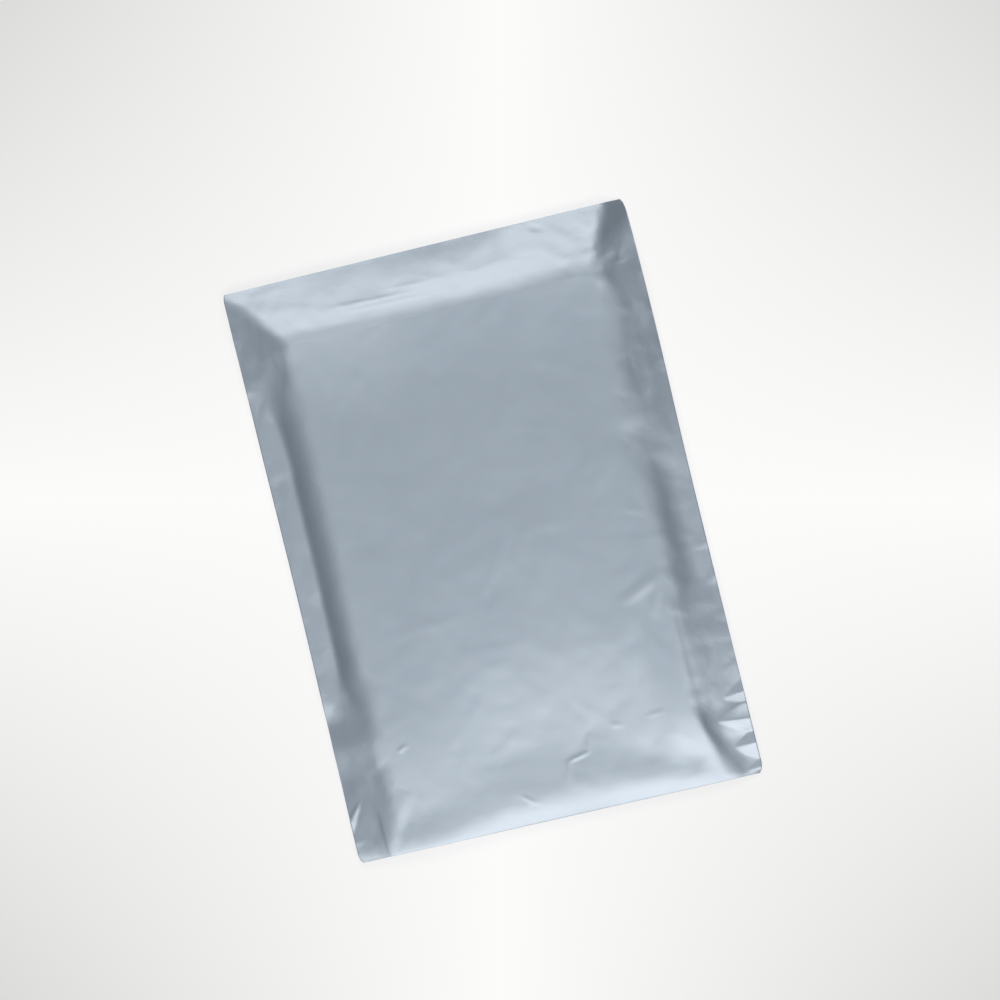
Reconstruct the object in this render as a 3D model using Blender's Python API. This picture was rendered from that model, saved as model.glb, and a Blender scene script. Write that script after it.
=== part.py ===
"""A sealed poly mailer: a bag of thin film, welded down both sides, filled with flat soft goods and closed.

The bag lies on its closure side. X runs across it, +Y towards the folded mouth, +Z up, and Z = 0 is the
surface it lies on. The film is one closed skin round the goods, so the bag is one solid: a flat back, a crowned
face that is thickest along the mouth and falls towards the base, a steep or ramped flank down each side, side
margins where the two films meet, one corner of the mouth bent down, and the folds that the film takes when it is
filled.
"""

import math

import bmesh
import bpy
import numpy as np

MM = 0.001

# The bag as it lies filled. Flat and empty it measures 254 by 356 mm.
BAG_WIDTH = 248 * MM
BAG_LENGTH = 352 * MM
EDGE_THICKNESS = 0.5 * MM  # both films and their weld bead
FILM_CLEARANCE = 0.2 * MM  # the least distance between the films where they bend
LOWEST_FILM = 0.8 * MM  # the least height of the upper film
CLOSURE_FLAP = 45 * MM  # folded over the mouth and glued to the back
FLAP_EDGE = 0.8 * MM
FLAP_STEP = 0.4 * MM  # how far the film beside the flap's edge stands off the surface
FLAP_STEP_RUN = 6 * MM

# The goods inside, which set the height of the face.
FACE_HEIGHT = 13.6 * MM
FACE_CROWN = 1.6 * MM  # how far the face falls from its middle line to the sides
BASE_CROWN = 4.5 * MM  # and how far it does so at the base
CROWN_CHANGE = 141 * MM
RIM_LEFT = 7.6 * MM  # the goods are thickest along the mouth, most of all near its left corner
RIM_RIGHT = 4.8 * MM
RIM_RUN = 100 * MM

# The roll of the film over the fold of the base.
BASE_FOLD = 0.8 * MM
FOLD_DROP = 0.3 * MM
UNDER_ROUNDING = 10 * MM

# How softly the surfaces run into each other.
MOUTH_BLEND = 0.9 * MM
SHOULDER_SLOPE = 0.135
SHOULDER_BLEND = 0.25 * MM
FOOT_BLEND = 1.3 * MM
UNDER_BLEND = 1.2 * MM
UNDER_SLOPE = 0.5

# The right corner of the mouth is bent down: a plain facet, up to a line that leaves the side at CORNER_BEND and
# slants inwards.
CORNER_HEIGHT = 0.9 * MM
CORNER_SLOPE = 0.52
CORNER_BEND = 13 * MM
CORNER_SLANT = 0.75
CORNER_TURN = 34 * MM

# The mesh lines: how many strips of the lower film cross each stretch. The upper film has two for each.
SIDE_MARGIN = 32 * MM
SIDE_STRIPS = 8
MIDDLE_STRIPS = 8
MOUTH_MARGIN = 36 * MM
MOUTH_STRIPS = 8
FLAP_STRIPS = 2
MAIN_STRIPS = 20
BASE_MARGIN = 62 * MM
BASE_STRIPS = 8
END_STRIPS = 4

FILM_COLOUR = (0.345, 0.423, 0.512, 1.0)
FILM_METALLIC = 0.5
FILM_ROUGHNESS = 0.42


def from_mouth(millimetres):
    """A distance from the mouth edge, in metres."""
    return millimetres * MM


def from_base(millimetres):
    """A place this far from the base edge, as a distance from the mouth edge."""
    return BAG_LENGTH - millimetres * MM


def from_left(millimetres):
    """A distance from the left edge, in metres."""
    return millimetres * MM


def from_right(millimetres):
    """A place this far from the right edge, as a distance from the left edge."""
    return BAG_WIDTH - millimetres * MM


# A flank at stations along its edge: the place, then in millimetres how far in it leaves the face and the distance
# in of its foot, the slope of the margin outside the foot and of the wall above it, and how softly, in
# millimetres, the wall turns into the face, or at the mouth how far in the gentler shoulder above the wall leaves
# the face.
LEFT_FLANK = (
    (from_mouth(0), 50.0, 8.0, 0.20, 0.25, 0.8),
    (from_mouth(14), 46.0, 8.0, 0.22, 0.23, 0.8),
    (from_mouth(28), 34.0, 10.0, 0.20, 0.27, 0.8),
    (from_mouth(42), 30.0, 9.0, 0.25, 0.29, 0.8),
    (from_mouth(56), 30.0, 18.0, 0.21, 0.335, 1.4),
    (from_mouth(70), 28.0, 13.0, 0.18, 0.375, 3.0),
    (from_mouth(88), 26.5, 14.8, 0.075, 0.52, 4.2),
    (from_mouth(110), 25.9, 15.6, 0.065, 0.56, 4.6),
    (from_base(202), 25.2, 15.3, 0.065, 0.57, 4.6),
    (from_base(122), 24.3, 14.8, 0.07, 0.57, 4.6),
    (from_base(106), 25.5, 14.0, 0.085, 0.44, 4.2),
    (from_base(84), 29.5, 20.0, 0.245, 0.31, 1.4),
    (from_base(70), 28.5, 13.0, 0.25, 0.25, 1.4),
    (from_base(53), 30.3, 15.0, 0.27, 0.265, 1.4),
    (from_base(38), 28.6, 15.0, 0.24, 0.285, 1.0),
    (from_base(27), 25.5, 14.0, 0.18, 0.24, 1.2),
    (from_base(14), 22.5, 14.0, 0.18, 0.24, 1.2),
    (from_base(0), 20.0, 15.0, 0.16, 0.26, 0.8),
)
RIGHT_FLANK = (
    (from_mouth(0), 25.0, 8.0, 0.29, 0.32, 1.0),
    (from_mouth(42), 25.5, 8.0, 0.30, 0.33, 1.2),
    (from_mouth(56), 25.3, 8.0, 0.28, 0.29, 2.4),
    (from_mouth(70), 25.5, 8.0, 0.31, 0.29, 3.0),
    (from_mouth(88), 27.3, 8.0, 0.31, 0.33, 1.9),
    (from_mouth(105), 26.6, 9.0, 0.22, 0.36, 2.4),
    (from_mouth(126), 29.0, 8.0, 0.29, 0.26, 2.4),
    (from_mouth(141), 32.5, 8.0, 0.21, 0.22, 2.0),
    (from_mouth(161), 27.4, 13.5, 0.14, 0.38, 2.4),
    (from_base(172), 25.9, 13.2, 0.145, 0.42, 2.2),
    (from_base(120), 25.8, 13.2, 0.145, 0.42, 2.0),
    (from_base(106), 28.3, 20.0, 0.23, 0.30, 1.0),
    (from_base(84), 29.0, 20.0, 0.27, 0.25, 1.2),
    (from_base(70), 29.5, 13.0, 0.23, 0.28, 1.4),
    (from_base(49), 31.0, 18.0, 0.23, 0.28, 1.2),
    (from_base(36), 29.0, 21.5, 0.17, 0.43, 0.9),
    (from_base(25), 25.5, 18.0, 0.16, 0.42, 0.9),
    (from_base(14), 20.8, 13.5, 0.16, 0.42, 0.9),
    (from_base(7), 17.0, 10.0, 0.17, 0.42, 0.9),
    (from_base(0), 14.0, 7.0, 0.18, 0.40, 0.8),
)
MOUTH_FLANK = (
    (from_left(0), 34.5, 8.0, 0.17, 0.20, 37.0),
    (from_left(37), 34.8, 10.0, 0.175, 0.205, 37.5),
    (from_left(62), 34.2, 18.0, 0.155, 0.235, 37.0),
    (from_left(87), 34.2, 18.0, 0.148, 0.22, 36.5),
    (from_left(124), 36.0, 15.5, 0.105, 0.245, 33.0),
    (from_right(87), 37.5, 15.5, 0.12, 0.24, 34.0),
    (from_right(62), 37.5, 9.0, 0.165, 0.225, 34.0),
    (from_right(37), 37.8, 20.0, 0.175, 0.20, 34.0),
    (from_right(0), 38.0, 8.0, 0.17, 0.20, 34.0),
)

# The face's slope towards the base, at distances in millimetres from the fold: near the left side, in the middle,
# near the right side and beside the right flank.
BASE_SLOPES = (
    (0, 0.14, 0.22, 0.20, 0.19),
    (2.5, 0.08, 0.20, 0.19, 0.17),
    (5.5, 0.04, 0.165, 0.155, 0.11),
    (9, 0.01, 0.113, 0.095, 0.042),
    (14, 0.0, 0.058, 0.027, 0.033),
    (21, 0.023, 0.019, 0.012, 0.105),
    (28, 0.058, 0.018, 0.056, 0.110),
    (35, 0.042, 0.026, 0.075, 0.073),
    (42, 0.036, 0.043, 0.054, 0.046),
    (49, 0.033, 0.056, 0.047, 0.031),
    (63, 0.018, 0.060, 0.050, 0.019),
    (77, 0.004, 0.056, 0.043, 0.012),
    (91, 0.0, 0.044, 0.031, 0.0),
    (106, 0.0, 0.026, 0.004, 0.0),
    (123, 0.0, 0.010, 0.0, 0.0),
    (150, 0.0, 0.004, 0.0, 0.0),
    (175, 0.0, 0.0, 0.0, 0.0),
)
NEAR_LEFT = (from_left(40), from_left(100))
NEAR_RIGHT = (from_right(88), from_right(61))
FAR_RIGHT = (from_right(61), from_right(38))
NEAR_RIM_LEFT = (from_left(50), from_right(99))

# How far the side edges are drawn in from the full width, in millimetres.
LEFT_INSET = (
    (from_mouth(0), 0.0),
    (from_mouth(70), 0.2),
    (from_base(162), 0.9),
    (from_base(90), 0.5),
    (from_base(0), 0.0),
)
RIGHT_INSET = (
    (from_mouth(0), 1.5),
    (from_mouth(40), 0.3),
    (from_mouth(75), 0.0),
    (from_mouth(170), 0.6),
    (from_base(70), 0.3),
    (from_base(12), 0.0),
    (from_base(0), 1.2),
)

# Folds in the upper film: both ends, each as a place across and a place along, then in millimetres the height of
# the crest and how far it falls away to the left and to the right, looking from the first end to the second. A
# height below nothing is a valley.
FOLDS = (
    (from_right(51), from_mouth(5), from_right(30), from_mouth(25), -0.16, 6.0, 8.0),
    (from_right(24), from_mouth(34), from_right(4), from_mouth(31), 0.14, 3.0, 4.5),
    (from_right(33), from_mouth(146), from_right(20), from_mouth(147), -0.35, 4.0, 4.0),
    (from_right(29), from_mouth(134), from_right(8), from_mouth(140), 0.24, 5.0, 7.0),
    (from_right(28), from_base(130), from_right(60), from_base(116), 0.30, 6.0, 6.0),
    (from_right(33), from_base(120), from_right(31), from_base(46), 0.26, 7.0, 8.0),
    (from_left(38), from_base(37), from_left(23), from_base(5), 0.28, 9.0, 7.0),
    (from_left(23), from_base(32), from_left(17), from_base(0), 0.35, 9.0, 6.0),
)

# Puckers where the side weld has drawn the film up: where the crest meets the edge, then in millimetres how far in
# it reaches, the height, the fall towards the mouth and towards the base, and how far the crest slants along on
# its way in.
RIGHT_PUCKERS = (
    (from_mouth(48), 7, 0.5, 2.5, 4.0, 1.0),
    (from_mouth(69), 6, 0.4, 2.5, 3.5, 0.5),
    (from_base(140), 11, 0.4, 5.0, 4.0, 1.5),
    (from_base(120), 10, 0.5, 6.0, 5.0, 4.0),
    (from_base(96), 8, 0.3, 4.0, 5.0, -1.0),
    (from_base(47.5), 12, 0.7, 7.0, 3.5, -1.5),
    (from_base(30.5), 19, 1.7, 11.0, 9.0, -5.0),
    (from_base(16), 12, 1.3, 6.0, 6.0, -2.0),
    (from_base(4), 8, 0.5, 3.5, 3.0, 0.0),
)
LEFT_PUCKERS = (
    (from_mouth(29), 10, 0.15, 6.0, 6.0, 0.0),
    (from_mouth(60), 8, 0.3, 5.0, 5.0, 1.0),
    (from_mouth(101), 7, 0.2, 6.0, 6.0, 0.0),
    (from_base(26), 9, 1.0, 6.0, 5.0, -4.0),
    (from_base(13), 7, 0.3, 4.0, 5.0, 0.0),
)


def eased(stations, column, along):
    """A column of the stations, read at places along an edge with soft turns at the stations."""
    places = np.array([row[0] for row in stations])
    values = np.array([row[column] for row in stations])
    upper = np.clip(np.searchsorted(places, along), 1, len(places) - 1)
    share = (along - places[upper - 1]) / (places[upper] - places[upper - 1])
    share = np.clip(share, 0, 1)
    share = share * share * (3 - 2 * share)
    return values[upper - 1] * (1 - share) + values[upper] * share


def ramp(value, low, high):
    """0 up to low, 1 from high, and a soft turn between them."""
    share = np.clip((value - low) / (high - low), 0, 1)
    return share * share * (3 - 2 * share)


def soft_min(a, b, blend):
    """The lower of two heights, rounded where they cross."""
    share = np.clip(0.5 + 0.5 * (b - a) / blend, 0, 1)
    return b * (1 - share) + a * share - blend * share * (1 - share)


def soft_max(a, b, blend):
    """The higher of two heights, rounded where they cross."""
    return -soft_min(-a, -b, blend)


def quarter_round(distance, run):
    """0 at an edge, rising as a quarter of an ellipse to 1 at the end of the run."""
    return np.sqrt(np.clip(1 - np.clip(1 - distance / run, 0, 1) ** 2, 0, 1))


def flank_height(stations, along, inward, face_at):
    """A flank falls from the face as a wall, down to its foot, and then more gently to the bag's edge.

    face_at gives the face's height at a distance in from this edge.
    """
    top, foot = (MM * eased(stations, k, along) for k in (1, 2))
    margin_slope, wall_slope = (eased(stations, k, along) for k in (3, 4))
    wall = face_at(top) - wall_slope * (top - inward)
    margin = face_at(top) - wall_slope * (top - foot) - margin_slope * (foot - inward)
    return np.maximum(soft_max(margin, wall, FOOT_BLEND), LOWEST_FILM)


def bent_corner(flank, along, inward):
    """The right flank with the mouth's corner bent down."""
    facet = CORNER_HEIGHT + CORNER_SLOPE * inward
    past = ramp(along - CORNER_SLANT * inward, CORNER_BEND, CORNER_BEND + CORNER_TURN)
    return facet * (1 - past) + flank * past


def base_drop(across, to_base):
    """How far the face has fallen on its way to the base."""
    table = np.array(BASE_SLOPES)
    places = table[:, 0] * MM
    fine = np.linspace(0, places[-1], 600)
    drops = []
    for column in (1, 2, 3, 4):
        slope = np.interp(fine, places, table[:, column])
        fall = np.concatenate(([0], np.cumsum(0.5 * (slope[1:] + slope[:-1]) * np.diff(fine))))
        drops.append(fall[-1] - np.interp(to_base, fine, fall))
    left, middle, right, far_right = drops
    drop = left + (middle - left) * ramp(across, *NEAR_LEFT)
    drop = drop + (right - drop) * ramp(across, *NEAR_RIGHT)
    return drop + (far_right - drop) * ramp(across, *FAR_RIGHT)


def face_height(across, along):
    """The crowned face over the goods, with its rise to the mouth and its fall towards the base."""
    side = np.clip(2 * across / BAG_WIDTH - 1, -1, 1)
    crown = FACE_CROWN + (BASE_CROWN - FACE_CROWN) * ramp(along, BAG_LENGTH - CROWN_CHANGE, BAG_LENGTH)
    rim = RIM_LEFT + (RIM_RIGHT - RIM_LEFT) * ramp(across, *NEAR_RIM_LEFT)
    rim = rim * np.clip(1 - along / RIM_RUN, 0, 1) ** 2
    return FACE_HEIGHT - crown * side**2 + rim - base_drop(across, BAG_LENGTH - along)


def fold_height(across, along, fold):
    """A line in the film, high or low at its middle and dying out at its ends and sides."""
    x0, y0, x1, y1, height, left, right = fold
    dx, dy = x1 - x0, y1 - y0
    length = math.hypot(dx, dy)
    place = ((across - x0) * dx + (along - y0) * dy) / length**2
    off = ((across - x0) * dy - (along - y0) * dx) / length
    side = np.clip(np.where(off > 0, off / (left * MM), -off / (right * MM)), 0, 1)
    ends = np.clip(1 - np.abs(2 * place - 1) ** 2.5, 0, 1)
    return height * MM * (0.5 + 0.5 * np.cos(math.pi * side)) * ends


def pucker_height(along, inward, puckers):
    """A side margin's rise where its weld has drawn up."""
    total = np.zeros_like(along)
    for place, reach, height, to_mouth, to_base, slant in puckers:
        off = along - place - slant * inward / reach
        side = np.where(off < 0, -off / (to_mouth * MM), off / (to_base * MM))
        fade = np.clip(1 - inward / (reach * MM), 0, 1)
        total += height * MM * np.clip(1 - side, 0, 1) * fade
    return total


def upper_film(across, along):
    """The height of the face side's film over every point of the bag, from the mouth's row to the base's."""
    from_far = BAG_WIDTH - across
    left = flank_height(LEFT_FLANK, along, across, lambda inward: face_height(inward, along))
    right = flank_height(RIGHT_FLANK, along, from_far, lambda inward: face_height(BAG_WIDTH - inward, along))
    mouth = flank_height(MOUTH_FLANK, across, along, lambda inward: face_height(across, inward))
    height = soft_min(face_height(across, along), left, MM * eased(LEFT_FLANK, 5, along))
    height = soft_min(height, bent_corner(right, along, from_far), MM * eased(RIGHT_FLANK, 5, along))
    height = soft_min(height, mouth, MOUTH_BLEND)
    shoulder_top = MM * eased(MOUTH_FLANK, 5, across)
    shoulder = face_height(across, shoulder_top) - SHOULDER_SLOPE * (shoulder_top - along)
    height = soft_min(height, shoulder, SHOULDER_BLEND)
    over_fold = quarter_round(BAG_LENGTH - along, BASE_FOLD)
    height = height - FOLD_DROP * (1 - over_fold)
    for fold in FOLDS:
        height = height + fold_height(across, along, fold) * over_fold
    height = height + pucker_height(along, across, LEFT_PUCKERS) + pucker_height(along, from_far, RIGHT_PUCKERS)
    return np.maximum(height, LOWEST_FILM)


def under_flank(stations, along, inward, upper):
    """The closure side's film at a side: with the upper film as far in as the margin is flat, then falling away."""
    foot, margin_slope = (eased(stations, k, along[:, 0]) for k in (2, 3))
    parting = foot * MM * ramp(margin_slope, 0.30, 0.16)
    together = []
    for row, reach in enumerate(parting):
        order = np.argsort(inward[row])
        together.append(np.interp(np.minimum(inward[row], reach), inward[row, order], upper[row, order]))
    beyond = np.clip(inward - parting[:, None], 0, None)
    return np.array(together) - EDGE_THICKNESS - UNDER_SLOPE * beyond


def lower_film(across, along, upper):
    """The height of the closure side's film, flat under the goods and never above the upper film."""
    left = under_flank(LEFT_FLANK, along, across, upper)
    right = under_flank(RIGHT_FLANK, along, BAG_WIDTH - across, upper)
    mouth = (upper[:1, :] - EDGE_THICKNESS) * (1 - along / MOUTH_MARGIN)
    edges = soft_max(soft_max(left, right, UNDER_BLEND), mouth, UNDER_BLEND)
    base = (upper[-1:, :] - EDGE_THICKNESS) * (1 - quarter_round(BAG_LENGTH - along, UNDER_ROUNDING))
    height = np.maximum(soft_max(edges, 0 * edges, UNDER_BLEND), base)
    past_flap = along - CLOSURE_FLAP
    lift = np.minimum(past_flap / FLAP_EDGE, 1 - (past_flap - FLAP_EDGE) / FLAP_STEP_RUN)
    height = height + FLAP_STEP * np.clip(lift, 0, 1)
    height = np.minimum(height, upper - EDGE_THICKNESS)
    return np.minimum(height, lowest_beside(upper) - FILM_CLEARANCE)


def lowest_beside(heights):
    """The least height at each point of a grid and the eight points round it."""
    wide = np.pad(heights, 1, mode="edge")
    return np.lib.stride_tricks.sliding_window_view(wide, (3, 3)).min(axis=(2, 3))


def mesh_lines(stretches):
    """Places of the mesh lines along one direction, from (start, end, strips) for each stretch."""
    lines = [stretches[0][0]]
    for start, end, strips in stretches:
        lines += [start + (end - start) * (k + 1) / strips for k in range(strips)]
    return lines


def lines_across():
    return mesh_lines(
        (
            (0, SIDE_MARGIN, SIDE_STRIPS),
            (SIDE_MARGIN, BAG_WIDTH - SIDE_MARGIN, MIDDLE_STRIPS),
            (BAG_WIDTH - SIDE_MARGIN, BAG_WIDTH, SIDE_STRIPS),
        )
    )


def lines_along():
    edge_of_flap = CLOSURE_FLAP + FLAP_EDGE
    flap_end = edge_of_flap + FLAP_STEP_RUN
    return mesh_lines(
        (
            (0, MOUTH_MARGIN, MOUTH_STRIPS),
            (MOUTH_MARGIN, CLOSURE_FLAP, FLAP_STRIPS),
            (CLOSURE_FLAP, edge_of_flap, 1),
            (edge_of_flap, flap_end, 1),
            (flap_end, BAG_LENGTH - BASE_MARGIN, MAIN_STRIPS),
            (BAG_LENGTH - BASE_MARGIN, BAG_LENGTH - UNDER_ROUNDING, BASE_STRIPS),
            (BAG_LENGTH - UNDER_ROUNDING, BAG_LENGTH - BASE_FOLD, END_STRIPS),
            (BAG_LENGTH - BASE_FOLD, BAG_LENGTH, 1),
        )
    )


def halved(lines):
    """The same lines with one more half way between each two."""
    halves = [0.5 * (near + far) for near, far in zip(lines, lines[1:])]
    return sorted(lines + halves)


def film_points(across_lines, along_lines):
    """The upper and lower film's points, one row of each for every line across the bag."""
    across, along = np.meshgrid(across_lines, along_lines)
    upper = upper_film(across, along)
    lower = lower_film(across, along, upper)
    from_sides = np.clip(1 - across / SIDE_MARGIN, 0, 1)
    from_far_side = np.clip(1 - (BAG_WIDTH - across) / SIDE_MARGIN, 0, 1)
    drawn_in = eased(LEFT_INSET, 1, along) * from_sides - eased(RIGHT_INSET, 1, along) * from_far_side
    x = across - 0.5 * BAG_WIDTH + drawn_in * MM
    y = 0.5 * BAG_LENGTH - along
    return np.stack((x, y, upper), axis=2), np.stack((x, y, lower), axis=2)


def add_grid(bm, points):
    """A film as a grid of four-sided faces. Returns its vertices, row by row."""
    verts = [[bm.verts.new(point) for point in row] for row in points]
    for row, next_row in zip(verts, verts[1:]):
        for a, b, c, d in zip(row, row[1:], next_row[1:], next_row):
            bm.faces.new((a, b, c, d))
    return verts


def bag_mesh():
    """Both films as grids of faces, joined round the edge of the bag."""
    across_lines, along_lines = lines_across(), lines_along()
    upper_points, lower_points = film_points(halved(across_lines), halved(along_lines))
    bm = bmesh.new()
    upper = add_grid(bm, upper_points)
    lower = add_grid(bm, lower_points[::2, ::2])
    rows, columns = len(along_lines), len(across_lines)
    rim = [(0, j) for j in range(columns - 1)]
    rim += [(i, columns - 1) for i in range(rows - 1)]
    rim += [(rows - 1, j) for j in range(columns - 1, 0, -1)]
    rim += [(i, 0) for i in range(rows - 1, 0, -1)]
    for (i, j), (k, m) in zip(rim, rim[1:] + rim[:1]):
        bm.faces.new((upper[2 * i][2 * j], upper[i + k][j + m], upper[2 * k][2 * m], lower[k][m], lower[i][j]))
    bmesh.ops.recalc_face_normals(bm, faces=bm.faces)
    mesh = bpy.data.meshes.new("mailer_bag")
    bm.to_mesh(mesh)
    bm.free()
    return mesh


def film_material():
    """Silver-grey film with a soft sheen."""
    material = bpy.data.materials.new("silver_film")
    material.use_nodes = True
    shader = material.node_tree.nodes["Principled BSDF"]
    shader.inputs["Base Color"].default_value = FILM_COLOUR
    shader.inputs["Metallic"].default_value = FILM_METALLIC
    shader.inputs["Roughness"].default_value = FILM_ROUGHNESS
    return material


def main():
    for obj in list(bpy.data.objects):
        bpy.data.objects.remove(obj)
    mesh = bag_mesh()
    mesh.shade_smooth()
    mesh.set_sharp_from_angle(angle=math.radians(50))
    mesh.materials.append(film_material())
    bag = bpy.data.objects.new("mailer_bag", mesh)
    bpy.context.scene.collection.objects.link(bag)


main()
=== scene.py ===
"""A filled and sealed mailing bag of silver-grey film, lying on its closure side, seen from above.

The film is one fine skin: a crowned face over the goods, flanks that fall to the welded side margins, hips
that run to the corners, the folds and puckers that the goods have pressed into it, and the closure flap on the
back. Each side has the bead that its weld leaves along the cut edge. Lengths in the film's own code are
millimetres; those of the lamps, the floor and the camera are metres.
"""

import math

import bpy
import numpy as np
from mathutils import Matrix, Vector


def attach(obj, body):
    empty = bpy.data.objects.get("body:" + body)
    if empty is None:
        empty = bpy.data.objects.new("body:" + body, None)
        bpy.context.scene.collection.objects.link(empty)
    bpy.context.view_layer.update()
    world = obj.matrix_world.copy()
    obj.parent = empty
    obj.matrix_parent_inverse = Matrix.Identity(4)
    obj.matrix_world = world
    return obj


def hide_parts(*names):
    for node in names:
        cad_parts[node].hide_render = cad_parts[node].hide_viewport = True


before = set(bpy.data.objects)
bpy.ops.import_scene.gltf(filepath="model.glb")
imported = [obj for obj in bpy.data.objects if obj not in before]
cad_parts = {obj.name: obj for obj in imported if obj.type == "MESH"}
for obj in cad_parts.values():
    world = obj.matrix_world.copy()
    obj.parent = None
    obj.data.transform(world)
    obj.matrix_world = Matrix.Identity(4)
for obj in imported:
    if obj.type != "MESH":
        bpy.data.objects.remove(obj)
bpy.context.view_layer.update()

MM = 0.001

# The filled bag.
WIDTH = 248.0
LENGTH = 352.0
FACE_HEIGHT = 13.6
EDGE_THICKNESS = 0.5
LOWEST_FILM = 0.8

# The closure flap on the back: how far down it reaches, the step at its edge, the run of the step's wall, the
# next line of the mesh past it, and the distance over which the film beyond it comes back to the level.
CLOSURE_FLAP = 45.0
FLAP_STEP = 0.35
FLAP_WALL = 0.15
FLAP_NEXT_LINE = 1.0
FLAP_RUN_OUT = 6.0

# How far the face falls from its middle line to the sides: over the goods, and more at the base.
FACE_CROWN = 1.6
BASE_CROWN = 4.5
BASE_CROWN_START = 0.6 * LENGTH

# The goods are thickest along their end at the mouth, and most of all near its left corner.
MOUTH_RIM_LEFT = 7.6
MOUTH_RIM_RIGHT = 4.8
MOUTH_RIM_TURN = (0.2 * WIDTH, 0.6 * WIDTH)
MOUTH_RIM_RUN = 100.0

# The roll of the film over the fold of the base: its run, its drop, and the most of the film's height that the
# drop may take.
BASE_FOLD = 0.25
FOLD_DROP = 0.1
FOLD_DROP_SHARE = 0.3
FOLD_LINES = 4

# How softly the surfaces run into each other at the foot of a flank and on the closure side.
FOOT_BLEND = 1.3
UNDER_BLEND = 1.2

# The closure side's film: it parts from the upper film at the edge of a steep margin and at the foot of a flat
# one, and falls away from there. At the ends it comes down over these runs.
PARTING_SLOPES = (0.30, 0.16)
UNDER_SLOPE = 0.5
UNDER_MOUTH_RUN = 36.0
UNDER_BASE_RUN = 10.0


def from_right(distance):
    """A place this far from the right edge."""
    return WIDTH - distance


def from_base(distance):
    """A place this far from the base edge."""
    return LENGTH - distance


# A flank at stations along its edge: place, how far in it leaves the face, the distance in of its foot, the
# slopes of the margin outside the foot and of the wall above it, and how softly the wall turns into the face.
LEFT_FLANK = (
    (0.0, 50.0, 8.0, 0.20, 0.25, 1.0),
    (14.0, 45.0, 8.0, 0.22, 0.243, 1.1),
    (28.0, 34.5, 10.0, 0.20, 0.282, 1.1),
    (42.0, 30.5, 9.0, 0.24, 0.29, 0.9),
    (56.0, 30.0, 18.0, 0.21, 0.335, 1.4),
    (70.0, 28.0, 13.0, 0.18, 0.375, 3.0),
    (88.0, 26.5, 14.8, 0.075, 0.52, 4.2),
    (110.0, 25.9, 15.6, 0.065, 0.56, 4.6),
    (150.0, 25.2, 15.3, 0.065, 0.57, 4.6),
    (230.0, 24.3, 14.8, 0.07, 0.57, 4.6),
    (from_base(106), 25.5, 14.0, 0.085, 0.44, 4.2),
    (from_base(84), 29.5, 20.0, 0.245, 0.31, 1.4),
    (from_base(70), 28.5, 13.0, 0.25, 0.25, 1.4),
    (from_base(53), 30.3, 15.0, 0.262, 0.265, 1.4),
    (from_base(38), 27.6, 15.0, 0.205, 0.285, 0.8),
    (from_base(24), 23.8, 14.0, 0.162, 0.268, 1.4),
    (from_base(12), 20.6, 14.5, 0.15, 0.28, 1.2),
    (from_base(0), 19.0, 15.0, 0.15, 0.30, 0.6),
)
RIGHT_FLANK = (
    (0.0, 25.0, 8.0, 0.29, 0.32, 2.4),
    (28.0, 25.3, 8.0, 0.30, 0.33, 1.8),
    (42.0, 25.5, 8.0, 0.30, 0.33, 1.6),
    (56.0, 25.3, 8.0, 0.285, 0.30, 2.4),
    (70.0, 25.5, 8.0, 0.31, 0.325, 2.8),
    (88.0, 27.3, 8.0, 0.31, 0.33, 1.9),
    (105.0, 26.6, 9.0, 0.22, 0.36, 2.4),
    (126.0, 29.0, 8.0, 0.29, 0.26, 2.4),
    (141.0, 32.0, 8.0, 0.19, 0.23, 2.0),
    (151.0, 29.8, 12.0, 0.16, 0.27, 2.2),
    (161.0, 27.6, 13.5, 0.14, 0.35, 2.4),
    (180.0, 25.9, 13.2, 0.145, 0.42, 2.2),
    (232.0, 25.8, 13.2, 0.145, 0.42, 2.0),
    (from_base(113), 27.1, 16.6, 0.195, 0.378, 1.6),
    (from_base(106), 28.3, 20.0, 0.232, 0.31, 1.0),
    (from_base(96), 28.6, 19.0, 0.222, 0.30, 1.0),
    (from_base(86), 29.0, 20.0, 0.225, 0.27, 1.2),
    (from_base(70), 29.5, 13.0, 0.22, 0.272, 1.4),
    (from_base(49), 31.0, 18.0, 0.235, 0.32, 1.2),
    (from_base(36), 29.0, 21.5, 0.17, 0.43, 0.9),
    (from_base(25), 26.3, 18.5, 0.16, 0.42, 1.2),
    (from_base(14), 22.8, 15.0, 0.16, 0.36, 1.4),
    (from_base(7), 19.3, 11.6, 0.17, 0.33, 1.4),
    (from_base(0), 15.0, 7.0, 0.18, 0.31, 1.0),
)
# The flank at the mouth meets the face in a crease and curves there: place, the width of the even strip beside
# the crease, the distance in of its foot, the slopes of its margin and wall, and the slope of that strip.
MOUTH_FLANK = (
    (0.0, 4.5, 8.0, 0.17, 0.20, 0.128),
    (37.0, 4.5, 10.0, 0.155, 0.205, 0.125),
    (62.0, 4.5, 18.0, 0.14, 0.225, 0.122),
    (87.0, 3.0, 18.0, 0.135, 0.22, 0.115),
    (124.0, 0.5, 15.5, 0.10, 0.235, 0.088),
    (161.0, 0.0, 15.5, 0.12, 0.235, 0.085),
    (186.0, 0.5, 9.0, 0.165, 0.225, 0.085),
    (211.0, 2.0, 20.0, 0.175, 0.20, 0.08),
    (from_right(0), 2.0, 8.0, 0.17, 0.20, 0.08),
)
MOUTH_CREST = 39.5
CREASE_ENDS = (28.0, 222.0)
CREST_CURVE = 0.0145
MOUTH_MARGIN_CURVE = 0.01

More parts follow.
